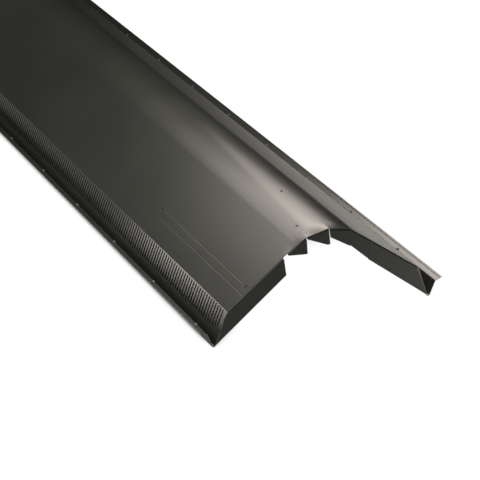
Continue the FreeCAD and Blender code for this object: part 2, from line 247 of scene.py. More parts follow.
@dataclass(frozen=True)
class Patch:
    """What a piece of sheet meets at its sides and in its cells.

    A side is true where sheet carries on beyond it: one answer, or one for each cell along it. Metal
    marks the cells that are not cut away, and elsewhere those whose metal another patch makes. Bare is
    how bare the metal is on the cut edges.
    """

    low_run: Any = False
    high_run: Any = False
    low_y: Any = False
    high_y: Any = False
    metal: Array | None = None
    elsewhere: Array | None = None
    bare: float = 1.0

    def flipped(self) -> "Patch":
        """The same with its runs counted the other way, for patches without cells elsewhere."""
        metal = None if self.metal is None else self.metal[::-1]
        return replace(self, low_run=self.high_run, high_run=self.low_run, metal=metal)


@dataclass
class SheetMesh:
    """Gathers the skins and cut edges of the sheet as whole arrays and closes them into one mesh."""

    section: Section
    points: list[Array] = field(default_factory=list)
    normals: list[Array] = field(default_factory=list)
    faces: list[Array] = field(default_factory=list)
    cuts: list[Array] = field(default_factory=list)
    count: int = 0

    def _take(self, points: Array, normals: Array, faces: Array, cut: float = 0.0) -> None:
        """Keep a set of points and the faces on them.

        Args:
            points: Places, three numbers each.
            normals: Shading normals there.
            faces: Corners of each face, counted from the first of these points.
            cut: 1 where the faces are a cut edge with bare metal.
        """
        self.points.append(points.reshape(-1, 3))
        self.normals.append(normals.reshape(-1, 3))
        self.faces.append(faces + self.count)
        self.cuts.append(np.full(len(faces), cut))
        self.count += points.reshape(-1, 3).shape[0]

    def _edge(self, corners: Array, bare: float = 1.0) -> None:
        """Keep the strips of a cut edge, facing along the cross product of their sides.

        Args:
            corners: (n, 4, 3) corners of the strips.
            bare: How bare the metal is there.
        """
        normal = np.cross(corners[:, 1] - corners[:, 0], corners[:, 3] - corners[:, 0])
        normal /= np.maximum(np.linalg.norm(normal, axis=1, keepdims=True), TINY)
        faces = np.arange(len(corners) * 4).reshape(-1, 4)
        self._take(corners, np.repeat(normal[:, None, :], 4, axis=1), faces, bare)

    def add_surface(self, middle: Array, offset: Array, normal: Array, patch: Patch) -> None:
        """Add a piece of sheet: the middle surface moved half a thickness each way, and its cut edges.

        A cut edge stands wherever a cell with metal meets one without, or a side with nothing beyond it.

        Args:
            middle: (m, n, 3) points of the middle surface.
            offset: (m, n, 3) directions of the thickness.
            normal: (m, n, 3) shading normals.
            patch: Its sides and its (m - 1, n - 1) cells.
        """
        rows, cols = middle.shape[:2]
        metal = np.ones((rows - 1, cols - 1), bool) if patch.metal is None else patch.metal
        half = self.section.thickness / 2.0
        outer, inner = middle + offset * half, middle - offset * half
        index = np.arange(rows * cols).reshape(rows, cols)
        a, b, c, d = index[:-1, :-1], index[1:, :-1], index[1:, 1:], index[:-1, 1:]
        skin = metal if patch.elsewhere is None else metal & ~patch.elsewhere
        self._take(outer, normal, together(a, b, c, d)[skin])
        self._take(inner, -normal, together(a, d, c, b)[skin])
        framed = np.zeros((rows + 1, cols + 1), bool)
        framed[1:-1, 1:-1] = metal
        framed[0, 1:-1] = patch.low_run
        framed[-1, 1:-1] = patch.high_run
        framed[1:-1, 0] = patch.low_y
        framed[1:-1, -1] = patch.high_y
        along = np.stack([outer[:, :-1], inner[:, :-1], inner[:, 1:], outer[:, 1:]], axis=2)
        across = np.stack([outer[:-1], outer[1:], inner[1:], inner[:-1]], axis=2)
        for strips, before, after in ((along, framed[:-1, 1:-1], framed[1:, 1:-1]),
                                      (across, framed[1:-1, :-1], framed[1:-1, 1:])):
            self._edge(strips[before & ~after], patch.bare)
            self._edge(strips[after & ~before][:, ::-1], patch.bare)

    def add_section(self, run: Array, y: Array, lift: Array | None, patch: Patch) -> None:
        """Add a piece of the section carried along the length.

        The point is the section's place at its run, raised along the normal by the lift; the shading
        normal leans back by the slope of the lift.

        Args:
            run: Runs across, as lines (1-D) or for each point (2-D).
            y: Places along the length, in the same way.
            lift: Height of each point off the middle surface, for lines only.
            patch: Its sides and cells.
        """
        grid_run, grid_y = np.meshgrid(run, y, indexing="ij") if run.ndim == 1 else (run, y)
        point, normal = self.section.line(grid_run)
        middle, offset = in_space(point, grid_y), in_space(normal, 0.0)
        shading = offset
        if lift is not None:
            middle = middle + offset * lift[..., None]
            by_run, by_y = np.gradient(lift, run, y)
            shading = offset - in_space(normal / 1j * by_run, by_y)
            shading /= np.linalg.norm(shading, axis=-1, keepdims=True)
        self.add_surface(middle, offset, shading, patch)

    def add_zip(self, run_a: float, y_a: Array, run_b: float, y_b: Array) -> None:
        """Add a narrow band between two rows of points that are spaced differently.

        Going along the length, each step to the next point of either row gives one triangle.

        Args:
            run_a: Run of the first row, less than the second.
            y_a: Places of its points.
            run_b: Run of the second row.
            y_b: Places of its points, from the same end to the same end.
        """
        order = np.argsort(np.concatenate([y_a[1:], y_b[1:]]), kind="stable")
        from_a = order < len(y_a) - 1
        i, j = np.cumsum(from_a) - from_a, np.cumsum(~from_a) - ~from_a
        third = np.where(from_a, i + 1, len(y_a) + j + 1)
        faces = together(i, len(y_a) + j, third)
        run = np.concatenate([np.full(len(y_a), run_a), np.full(len(y_b), run_b)])
        y = np.concatenate([y_a, y_b])
        point, normal = self.section.line(run)
        middle, offset = in_space(point, y), in_space(normal, 0.0)
        half = self.section.thickness / 2.0
        outer, inner = middle + offset * half, middle - offset * half
        self._take(outer, offset, faces)
        self._take(inner, -offset, faces[:, ::-1])
        a, b = np.array([0, len(y_a) - 1]), np.array([len(y_a), len(run) - 1])
        ends = np.stack([outer[a], outer[b], inner[b], inner[a]], axis=1)
        self._edge(ends[:1, ::-1])
        self._edge(ends[1:])

    def build(self, name: str) -> bpy.types.Object:
        """Make the object: points that coincide become one, and each face keeps its own normals.

        Args:
            name: Name of the object.

        Returns:
            The new object, at the origin.
        """
        points = np.concatenate(self.points)
        normals = np.concatenate(self.normals)
        places = np.floor(points * WELD_STEPS + WELD_SHIFT).astype(np.int64)
        _, first, same = np.unique(places, axis=0, return_index=True, return_inverse=True)
        same = same.ravel()
        sizes = np.concatenate([np.full(len(faces), faces.shape[1]) for faces in self.faces])
        corners = np.concatenate([faces.ravel() for faces in self.faces])
        mesh = bpy.data.meshes.new(name)
        mesh.vertices.add(len(first))
        mesh.vertices.foreach_set("co", points[first].astype(np.float32).ravel())
        mesh.loops.add(len(corners))
        mesh.loops.foreach_set("vertex_index", same[corners].astype(np.int32))
        mesh.polygons.add(len(sizes))
        mesh.polygons.foreach_set("loop_start", (np.cumsum(sizes) - sizes).astype(np.int32))
        mesh.polygons.foreach_set("use_smooth", np.ones(len(sizes), bool))
        mesh.update(calc_edges=True)
        mesh.attributes.new("cut", "FLOAT", "FACE").data.foreach_set(
            "value", np.concatenate(self.cuts).astype(np.float32))
        mesh.normals_split_custom_set(normals[corners].astype(np.float32).tolist())
        LOG.info("%s: %d points, %d triangles", name, len(first), int((sizes - 2).sum()))
        return placed(name, mesh)


def thin(marks: Sequence[float]) -> Array:
    """Sorted marks, without those that all but coincide with the one before them."""
    lines = np.sort(np.asarray(marks, float))
    return lines[np.concatenate(([True], np.diff(lines) > APART))]


def mirrored(marks: Sequence[float], step: float) -> Array:
    """Lines through all marks and their mirror images, with no gap over a step.

    Each gap between marks is cut into equal parts.

    Args:
        marks: Places that must be lines.
        step: Largest gap.

    Returns:
        The sorted lines.
    """
    fixed = thin([0.0, *np.abs(marks)])
    parts = [np.linspace(a, b, max(1, math.ceil((b - a) / step - TINY)), endpoint=False)
             for a, b in zip(fixed[:-1], fixed[1:])]
    half = np.concatenate([*parts, fixed[-1:]])
    return np.concatenate([-half[:0:-1], half])


def smooth(value: Array, low: float, high: float) -> Array:
    """Soft step from 0 at low to 1 at high: 3 t squared less 2 t cubed."""
    t = np.clip((value - low) / (high - low), 0.0, 1.0)
    return t * t * (3.0 - 2.0 * t)


@dataclass
class Piece:
    """A piece of the vent, which adds itself to the sheet being made."""

    sheet: SheetMesh

    @property
    def section(self) -> Section:
        """Measures of the sheet."""
        return self.sheet.section


@dataclass(frozen=True)
class Tab:
    """One end tab: its hinge along the top's edge and the corners of its lower edge, from the left."""

    start: float
    stop: float
    low: tuple[complex, ...]
    shares: Numbers = (0.0, 1.0)
    tuck: float = 0.0

    def covers(self, run: Array) -> Array:
        """Which runs lie on the hinge, its ends included."""
        return (run > self.start - SAME) & (run < self.stop + SAME)


@dataclass
class EndTabs(Piece):
    """Tabs folded down from the ends of the top: two long ones, three teeth and a tucked one an end."""

    tooth_start: float = 0.0451
    first_tooth_width: float = 0.0206
    tooth_width: float = 0.0252
    tooth_gap: float = 0.0009
    tooth_depth: float = 0.0177
    tooth_tip: float = 0.0034
    tooth_lean: float = 0.0024
    blunt_depth: float = 0.010
    inner_reach: float = 0.050
    tab_lean: float = 0.004
    edge_angle: float = math.radians(38.2)
    facet_reach: float = 0.018
    tuck_gap: float = 0.0002
    point_depth: float = 0.0003
    plate_steps: int = 4
    bend_steps: int = 7

    def _edge(self, x: float) -> complex:
        """Place on the long tabs' lower edge at a place across."""
        foot = self.section.foot
        return complex(x, foot.imag + (foot.real - abs(x)) * math.tan(self.edge_angle))

    def tabs(self) -> list[Tab]:
        """All tabs of the near end.

        Returns:
            The long tabs, the teeth from the left, and the tucked one.
        """
        section = self.section
        panel, foot = section.end_of(Stretch.PANEL), section.foot
        inner, lean = self.inner_reach, self.tab_lean
        right = inner + lean
        found = [
            Tab(-panel, section.run_at(-inner), (-foot.conjugate(), self._edge(-inner + lean))),
            Tab(section.run_at(right), panel, (self._edge(inner), foot))]
        left = -self.tooth_start
        for width, blunt in ((self.first_tooth_width, 0.0), (self.tooth_width, 0.0),
                             (self.tooth_width, self.blunt_depth)):
            found.append(self._tooth(left, left + width, blunt))
            left += width + self.tooth_gap
        start = section.run_at(left)
        top = section.line(np.array([start]))[0][0]
        low = (complex(left, top.imag - self.tooth_depth), self._edge(right))
        found.append(Tab(start, section.run_at(right - self.tuck_gap), low, tuck=section.thickness))
        return found

    def _tooth(self, left: float, right: float, blunt: float) -> Tab:
        """One saw tooth under the crown, deeper to the right.

        Args:
            left: Place of its left end.
            right: Place of its right end.
            blunt: Depth at its left end, or nothing for a point.

        Returns:
            The tab.
        """
        section = self.section
        start, stop = section.run_at(left), section.run_at(right)
        top, normal = section.line(np.array([start, stop]))
        drop = complex(self.tooth_lean, -self.tooth_depth)
        if blunt > 0.0:
            begin = top[0] + drop * blunt / self.tooth_depth
        else:
            begin = top[0] - normal[0] * section.end_radius - 1j * self.point_depth
        tip = top[1] + drop
        shares = (0.0, 1.0 - self.tooth_tip / (right - left), 1.0)
        return Tab(start, stop, (begin, tip - self.tooth_tip, tip), shares)

    def marks(self) -> list[float]:
        """Runs that the top needs as lines, so that the tabs meet it point for point."""
        return [tab.start + share * (tab.stop - tab.start) for tab in self.tabs() for share in tab.shares]

    def hinged(self, run: Array) -> Array:
        """Which cells between run lines carry a tab at the near end."""
        return np.any([tab.covers((run[:-1] + run[1:]) / 2.0) for tab in self.tabs()], axis=0)

    def facet(self, run: Array) -> Array:
        """How far the near end's edge lies under the arc: each hinge is the chord of its arc.

        Args:
            run: The lines.

        Returns:
            One height for each line, zero or less.
        """
        drop = np.zeros_like(run)
        point = self.section.line(run)[0]
        for tab in self.tabs():
            start, stop = self.section.line(np.array([tab.start, tab.stop]))[0]
            over = ((point - start) * (stop - start).conj()).imag / abs(stop - start)
            drop = np.where(tab.covers(run), np.minimum(drop, -over), drop)
        return drop

    def add(self, tab: Tab, lines: Array, lift: Array) -> None:
        """Add one tab at both ends: a quarter bend down from the top's edge, then a flat plate.

        Down the plate the points go in a straight line from the bend to the lower edge; the far end's
        tab is the near one turned half round the middle of the vent.

        Args:
            tab: The tab.
            lines: The top's run lines.
            lift: The top's height off the section there.
        """
        section = self.section
        on = tab.covers(lines)
        run = lines[on]
        share = (run - tab.start) / (tab.stop - tab.start)
        point, normal = section.line(run)
        point = point + normal * lift[on]
        bottom = np.interp(share, tab.shares, tab.low)
        radius = section.end_radius
        hinge = point - normal * radius
        plate = np.linspace(1.0, 0.0, self.plate_steps)[:-1]
        angle = np.linspace(math.pi / 2.0, 0.0, self.bend_steps)
        flat = hinge[:, None] + np.outer(bottom - hinge, plate)
        curve = point[:, None] - np.outer(normal, radius * (1.0 - np.cos(angle)))
        tilt = np.concatenate([np.full(len(plate), math.pi / 2.0), angle])
        y = -section.panel_end - (radius - tab.tuck) * np.sin(tilt)
        middle = in_space(np.concatenate([flat, curve], axis=1), y)
        facing = in_space(np.outer(normal, np.cos(tilt)), -np.sin(tilt))
        for turn in (1.0, -1.0):
            spin = np.array([turn, turn, 1.0])
            self.sheet.add_surface(middle * spin, facing * spin, facing * spin, Patch(high_y=True))


@dataclass(frozen=True)
class Groove:
    """A faint pressed line along the top near each end, between two distances from it."""

    x: float
    far: float
    near: float = 0.0
    depth: float = 0.00008
    half_width: float = 0.0005
    fade: float = 0.004


@dataclass
class Roof(Piece):
    """Crown, panels and folds: the smooth top of the vent, with its nail holes and pressed lines."""

    tabs: EndTabs
    panel_holes: tuple[Pair, ...] = ((0.08699, 0.0088), (0.08699, 0.2058))
    shoulder_hole: Pair = (-0.02081, 0.026)
    crown_hole: float = 0.098
    grooves: tuple[Groove, ...] = (
        Groove(0.08699, 0.202, 0.012), Groove(0.0943, 0.202), Groove(0.02105, 0.186), Groove(0.0310, 0.144))
    crown_steps: int = 13
    patch_steps: int = 7
    patch_skirt: float = 0.0008
    groove_lines: tuple[float, float, int] = (-1.5, 1.5, 7)
    end_lines: Numbers = (0.003, 0.006, 0.0095, 0.0135)
    ray_shares: Numbers = (0.0, 0.3, 1.0)
    run_step: float = 0.009
    y_step: float = 0.04

    def centres(self) -> list[Pair]:
        """Run and place along the length of each nail hole.

        Returns:
            The middles; both ends are alike after half a turn.
        """
        section = self.section
        half = section.half
        found = [(section.run_at(sx * x), sy * (half - gap))
                 for x, gap in self.panel_holes for sx in (-1.0, 1.0) for sy in (-1.0, 1.0)]
        x, gap = self.shoulder_hole
        found += [(section.run_at(x), gap - half), (section.run_at(-x), half - gap)]
        return found + [(0.0, self.crown_hole - half), (0.0, half - self.crown_hole)]

    def lines(self) -> tuple[Array, Array]:
        """Lines across and along that the top's points lie on.

        Returns:
            Runs and places along the length.
        """
        section = self.section
        panel, crown = section.end_of(Stretch.PANEL), section.end_of(Stretch.CROWN)
        end = section.panel_end
        patch = np.linspace(-1.0, 1.0, self.patch_steps) * section.hole_patch
        run_marks = [panel, *self.tabs.marks(), *np.linspace(0.0, crown, self.crown_steps)]
        y_marks = [end]
        for run, y in self.centres():
            run_marks += list(abs(run) + patch[::2])
            y_marks += [*(y + patch), y + patch[0] - self.patch_skirt, y + patch[-1] + self.patch_skirt]
        for groove in self.grooves:
            run_marks += list(section.run_at(groove.x) + groove.half_width * np.linspace(*self.groove_lines))
            y_marks += [section.half - groove.far, section.half - groove.far + groove.fade]
        y_marks += [end - away for away in (*self.end_lines, self.tabs.facet_reach)]
        return mirrored(run_marks, self.run_step), mirrored(y_marks, self.y_step)

    def build(self) -> None:
        """Add the top and its end tabs."""
        run, y = self.lines()
        mid_run, mid_y = (run[:-1] + run[1:]) / 2.0, (y[:-1] + y[1:]) / 2.0
        patch = self.section.hole_patch
        squares = np.zeros((len(run) - 1, len(y) - 1), bool)
        for centre_run, centre_y in self.centres():
            squares |= np.outer(np.abs(mid_run - centre_run) < patch, np.abs(mid_y - centre_y) < patch)
            self._hole(centre_run, centre_y, run, y)
        hinged = self.tabs.hinged(run)
        lift = self._lift(run, y)
        self.sheet.add_section(run, y, lift, Patch(True, True, hinged, hinged[::-1], elsewhere=squares))
        for tab in self.tabs.tabs():
            self.tabs.add(tab, run, lift[:, 0])
        self._folds()

    def _lift(self, run: Array, y: Array) -> Array:
        """Height off the smooth surface: pressed lines, and the ends drawn down to the tabs' chords.

        A pressed line is a squared cosine across, and stops short of the holes; the chords' drop fades
        with the square of the way left to where it ends.

        Args:
            run: Lines across.
            y: Lines along.

        Returns:
            One height for each crossing of the lines.
        """
        lift = np.zeros((len(run), len(y)))
        away = self.section.half - np.abs(y)
        for groove in self.grooves:
            window = (1.0 - smooth(away, groove.far - groove.fade, groove.far)) * (away >= groove.near)
            for sx in (-1.0, 1.0):
                off = (run - self.section.run_at(sx * groove.x)) / groove.half_width
                shape = np.where(np.abs(off) < 1.0, np.cos(off * math.pi / 2.0) ** 2, 0.0)
                lift -= groove.depth * np.outer(shape, window)
        reach = self.section.hole_patch + SAME
        for centre_run, centre_y in self.centres():
            lift[np.outer(np.abs(run - centre_run) < reach, np.abs(y - centre_y) < reach)] = 0.0
        end = self.section.panel_end
        fade = np.clip(1.0 - (end - np.abs(y)) / self.tabs.facet_reach, 0.0, 1.0) ** 2
        drop = self.tabs.facet(run)
        lift += np.outer(drop, fade * (y < 0.0)) + np.outer(drop[::-1], fade * (y > 0.0))
        return lift

    def _hole(self, run: float, y: float, run_lines: Array, y_lines: Array) -> None:
        """Add the square of sheet round a nail hole: rays from the circle out to the square's edge.

        Args:
            run: Run to the hole's middle.
            y: Place of the hole along the length.
            run_lines: The top's lines across, whose points the square's edge has.
            y_lines: The top's lines along.
        """
        patch = self.section.hole_patch + SAME
        across = run_lines[np.abs(run_lines - run) < patch]
        along = y_lines[np.abs(y_lines - y) < patch]
        rim = np.unique(np.concatenate([*(across + 1j * along[end] for end in (0, -1)),
                                        *(across[end] + 1j * along for end in (0, -1))]))
        middle = complex(run, y)
        angle = np.angle(rim - middle)
        order = np.argsort(angle)
        order = np.concatenate([order, order[:1]])
        circle = middle + self.section.hole_radius * np.exp(1j * angle)
        share = np.array(self.ray_shares)[:, None]
        spots = circle[order] * (1.0 - share) + rim[order] * share
        self.sheet.add_section(spots.real, spots.imag, None, Patch(high_run=True, low_y=True, high_y=True))

    def _folds(self) -> None:
        """Add the two bends between panels and walls, up to the last step before the wall."""
        run, along = self.section.fold_runs(), self.fold_lines()
        inner = np.ones(len(along) - 1, bool)
        inner[[0, -1]] = False
        patch = Patch(inner, True)
        self.sheet.add_section(run, along, None, patch)
        self.sheet.add_section(-run[::-1], along, None, patch.flipped())

    def fold_lines(self) -> Array:
        """The top's lines along, carried on to the very ends."""
        return np.concatenate([[-self.section.half], self.lines()[1], [self.section.half]])


@dataclass
class LouvreSide(Piece):
    """One side below the fold: slotted wall, trough, baffle and the hemmed lip with its dots."""

    side: Side
    slot_width: float = 0.0023
    slot_pitch: float = 0.00508
    slot_length: float = 0.0227
    slot_foot_gap: float = 0.0145
    end_margin: float = 0.004
    bow: float = 0.00006
    bulge: float = 0.00025
    band: float = 0.003
    dot_pitch: float = 0.1016
    dot_first: float = 0.0232
    dot_radius: float = 0.0021
    dot_height: float = 0.0010
    dot_lines: Numbers = (-1.2, -1.0, -0.67, -0.33, 0.0, 0.33, 0.67, 1.0, 1.2)
    hem_width: float = 0.0026
    hem_height: float = 0.0004
    hem_step: float = 0.0002
    rim_share: float = 0.4
    rim_lines: Numbers = (0.7, 0.4, 0.24, 0.12, 0.04, 0.0)
    strip_steps: int = 6
    strip_power: float = 0.6
    lower_steps: tuple[int, ...] = (3, 11, 3, 6)

    def build(self, fold_y: Array) -> None:
        """Add this side.

        Args:
            fold_y: Lines along of the fold above.
        """
        low = self.section.end_of(Stretch.WALL) - self.slot_foot_gap
        top = low - self.slot_length
        wall_y = self._wall(top, low)
        lip_y = self._lower(low + self.band)
        self._zip(float(self.section.fold_runs()[-1]), fold_y, top, wall_y)
        self._zip(low, wall_y, low + self.band, lip_y)

    def _zip(self, run_a: float, y_a: Array, run_b: float, y_b: Array) -> None:
        """Add a band between two rows of this side, its runs counted outwards."""
        if self.side is Side.RIGHT:
            self.sheet.add_zip(run_a, y_a, run_b, y_b)
        else:
            self.sheet.add_zip(-run_b, y_b, -run_a, y_a)

    def _add(self, run: Array, y: Array, lift: Array, patch: Patch) -> None:
        """Add a piece of this side, its runs counted outwards."""
        if self.side is Side.RIGHT:
            self.sheet.add_section(run, y, lift, patch)
        else:
            self.sheet.add_section(-run[::-1], y, lift[::-1], patch.flipped())

    def _wall(self, top: float, low: float) -> Array:
        """Add the row of slots: strips bowed a little outwards between open cells, on a parabola's bulge.

        Args:
            top: Run to the slots' upper ends.
            low: Run to their lower ends.

        Returns:
            The wall's lines along.
        """
        half = self.section.half
        room = self.section.length - 2.0 * self.end_margin - self.slot_width
        count = math.floor(room / self.slot_pitch) + 1
        middles = (np.arange(count) - (count - 1) / 2.0) * self.slot_pitch
        edges = np.sort(np.concatenate([middles - self.slot_width / 2.0, middles + self.slot_width / 2.0]))
        strips = (edges[1:-1:2] + edges[2:-1:2]) / 2.0
        y = np.sort(np.concatenate([[-half], edges, strips, [half]]))
        run = np.linspace(top, low, self.strip_steps)
        nearest = np.abs(((y[:-1] + y[1:]) / 2.0)[:, None] - middles[None, :]).min(axis=1)
        metal = np.repeat((nearest >= self.slot_width / 2.0)[None, :], len(run) - 1, axis=0)
        hump = np.clip(np.sin((run - top) / (low - top) * math.pi), 0.0, 1.0) ** self.strip_power
        across = np.linspace(-1.0, 1.0, len(run))
        lift = self.bulge * (1.0 - across ** 2)[:, None]
        lift = lift - self.bow * np.outer(hump, np.isin(y, edges).astype(float))
        self._add(run, y, lift, Patch(True, True, metal=metal, bare=0.0))
        return y

    def _lower(self, top: float) -> Array:
        """Add the plain foot of the wall, trough, baffle and lip.

        The lip's edge is hemmed: a step up, then a quarter ellipse down at the rim. The dots are domes,
        the square root of what is left of the squared radius, along the root of the lip.

        Args:
            top: Run to the upper end of the plain foot.

        Returns:
            The lines along.
        """
        half = self.section.half
        ends = [self.section.end_of(stretch) for stretch in Stretch]
        *marks, last = [top, *ends[Stretch.WALL.value:]]
        middle, hem = marks[-1], last - self.hem_width
        count = math.floor((self.section.length - 2.0 * self.dot_first) / self.dot_pitch) + 1
        dots = self.side.value * (half - self.dot_first - np.arange(count) * self.dot_pitch)
        local = np.array(self.dot_lines) * self.dot_radius
        y = thin(np.concatenate([[-half, half], *(dot + local for dot in dots)]))
        run = thin(np.concatenate([
            *(np.linspace(a, b, steps) for a, b, steps in zip(marks, marks[1:], self.lower_steps)),
            middle + local, hem + self.hem_step * np.arange(-2.0, 3.0),
            last - self.hem_width * np.array(self.rim_lines)]))
        rim = np.clip((run - last) / (self.hem_width * self.rim_share) + 1.0, 0.0, 1.0)
        step = smooth(run, hem - self.hem_step, hem + self.hem_step)
        edge = self.hem_height * step * np.sqrt(1.0 - rim ** 2)
        off_y = np.abs(y[:, None] - dots[None, :]).min(axis=1)
        off = (run - middle)[:, None] ** 2 + off_y[None, :] ** 2
        share = np.clip(1.0 - off / self.dot_radius ** 2, 0.0, 1.0)
        lift = edge[:, None] + self.dot_height * np.sqrt(share)
        self._add(run, y, lift, Patch(low_run=True))
        return y


class Value:
    """An output of a shader node, with ordinary arithmetic."""

    def __init__(self, graph: "Graph", socket: bpy.types.NodeSocket) -> None:
        """Wrap an output of a graph's node."""
        self.graph = graph
        self.socket = socket

    def _maths(self, operation: str, first: Any, second: Any) -> "Value":
        """Join two values or numbers in a maths node."""
        return self.graph.node("ShaderNodeMath", {0: first, 1: second}, operation=operation)

    def __add__(self, other: Any) -> "Value":
        """Sum with a value or number."""
        return self._maths("ADD", self, other)

    __radd__ = __add__

    def __sub__(self, other: Any) -> "Value":
        """This less a value or number."""
        return self._maths("SUBTRACT", self, other)

    def __rsub__(self, other: Any) -> "Value":
        """A number less this."""
        return self._maths("SUBTRACT", other, self)

    def __mul__(self, other: Any) -> "Value":
        """Product with a value or number."""
        return self._maths("MULTIPLY", self, other)

    __rmul__ = __mul__

    def size(self) -> "Value":
        """This without its sign."""
        return self._maths("ABSOLUTE", self, 0.0)

    def between(self, low: float, high: float, start: float = 0.0, stop: float = 1.0) -> "Value":
        """Soft step of this value, from start where it is low or less to stop where it is high or more."""
        ends = {"From Min": low, "From Max": high, "To Min": start, "To Max": stop}
        return self.graph.node("ShaderNodeMapRange", {"Value": self, **ends}, interpolation_type="SMOOTHSTEP")


class Graph:
    """Node graph of a material or world."""

    def __init__(self, owner: bpy.types.Material | bpy.types.World) -> None:
        """Start the owner's graph from an empty tree."""
        owner.use_nodes = True
        self.tree = owner.node_tree
        self.tree.nodes.clear()

    def make(self, kind: str, sockets: dict[Any, Any], **settings: Any) -> bpy.types.Node:
        """Add a node.

        Args:
            kind: Node type.
            sockets: Inputs by name or number: values, plain numbers or colours.
            **settings: Node properties, set first.

        Returns:
            The node.
        """
        node = self.tree.nodes.new(kind)
        for name, value in settings.items():
            setattr(node, name, value)
        for key, value in sockets.items():
            if isinstance(value, Value):
                self.tree.links.new(value.socket, node.inputs[key])
            else:
                node.inputs[key].default_value = value
        return node

    def node(self, kind: str, sockets: dict[Any, Any], output: Any = 0, **settings: Any) -> Value:
        """Add a node and wrap one of its outputs."""
        return Value(self, self.make(kind, sockets, **settings).outputs[output])

    def place(self) -> Value:
        """Places on the object, from its own origin."""
        return self.node("ShaderNodeTexCoord", {}, "Object")

    def axis(self, name: str) -> Value:
        """One of the three numbers of those places."""
        return self.node("ShaderNodeSeparateXYZ", {0: self.place()}, name)

    def noise(self, place: Value, scale: float, detail: float) -> Value:
        """Cloudy noise from 0 to 1, its scale counted per unit of place."""
        return self.node("ShaderNodeTexNoise", {"Vector": place, "Scale": scale, "Detail": detail})

    def blend(self, share: Any, first: Any, second: Any) -> Value:
        """Colour between two colours."""
        return self.node("ShaderNodeMix", {0: share, 6: first, 7: second}, 2, data_type="RGBA")

    def shown(self) -> tuple[Value, Value]:
        """Rays that show the background.

        Returns:
            1 for those that see it straight or through something, and 1 for those that see it mirrored.
        """
        path = self.make("ShaderNodeLightPath", {})
        names = ("Is Camera Ray", "Is Glossy Ray", "Is Transmission Ray")
        straight, mirror, through = (Value(self, path.outputs[name]) for name in names)
        return straight + through, mirror


@dataclass(frozen=True)
class CoilPaint:
    """Satin charcoal coil paint on sheet metal, bare where the sheet was cut.

    Each noise has a scale and a detail; the gloss shares are those of cloud, streak and skin.
    """

    name: str = "satin_charcoal_paint"
    dark: Colour = (0.0166, 0.0186, 0.0152, 1.0)
    light: Colour = (0.0196, 0.0218, 0.0180, 1.0)
    bare: Colour = (0.42, 0.41, 0.39, 1.0)
    bare_share: float = 0.3
    roughness: float = 0.302
    specular: float = 0.625
    oil_can: float = 0.0004
    grain: float = 0.000006
    cloud: Pair = (9.0, 4.0)
    streak: Pair = (1.0, 2.0)
    skin: Pair = (620.0, 2.0)
    wave: Pair = (4.0, 1.0)
    drawn: Triple = (260.0, 3.0, 260.0)
    cloud_span: Pair = (0.3, 0.7)
    gloss_shares: Triple = (0.06, 0.05, 0.04)

    def build(self) -> bpy.types.Material:
        """Make the material: cloudy tint and gloss, drawn streaks, a slow wave and a fine skin.

        Returns:
            The material.
        """
        material = bpy.data.materials.new(self.name)
        graph = Graph(material)
        place = graph.place()
        drawn = graph.node("ShaderNodeMapping", {"Vector": place, "Scale": self.drawn})
        cut = graph.node("ShaderNodeAttribute", {}, "Fac", attribute_name="cut")
        cloud = graph.noise(place, *self.cloud)
        streak = graph.noise(drawn, *self.streak)
        skin = graph.noise(place, *self.skin)
        wave = graph.noise(place, *self.wave)
        paint = graph.blend(cloud.between(*self.cloud_span), self.dark, self.light)
        bare = cut * self.bare_share
        colour = graph.blend(bare, paint, self.bare)
        gloss: Any = self.roughness
        for noise, share in zip((cloud, streak, skin), self.gloss_shares):
            gloss = gloss + (noise - 0.5) * share
        height = wave * self.oil_can + skin * self.grain
        bump = graph.node("ShaderNodeBump", {"Strength": 1.0, "Distance": 1.0, "Height": height})
        surface = graph.node("ShaderNodeBsdfPrincipled", {
            "Base Color": colour, "Roughness": gloss, "Metallic": bare, "Normal": bump,
            "Specular IOR Level": self.specular})
        graph.make("ShaderNodeOutputMaterial", {"Surface": surface})
        return material


@dataclass(frozen=True)
class Lamp:
    """A soft rectangular lamp, hidden from the camera itself."""

    name: str
    place: Triple
    aim: Triple
    size: Pair
    power: float
    tint: Triple = (1.0, 1.0, 1.0)

    def build(self) -> None:
        """Make the lamp."""
        data = bpy.data.lights.new(self.name, "AREA")
        data.shape = "RECTANGLE"
        data.size, data.size_y = self.size
        data.energy = self.power
        data.color = self.tint
        lamp = placed(self.name, data)
        lamp.location = self.place
        lamp.rotation_mode = "QUATERNION"
        lamp.rotation_quaternion = (Vector(self.aim) - Vector(self.place)).to_track_quat("-Z", "Y")
        lamp.visible_camera = False


@dataclass(frozen=True)
class PaintedLightPool:
    """A painted pool of light on the floor, which only mirror views show, with its reaches across and along.
    """

    x: float
    y: float
    wide: float
    long: float
    level: float


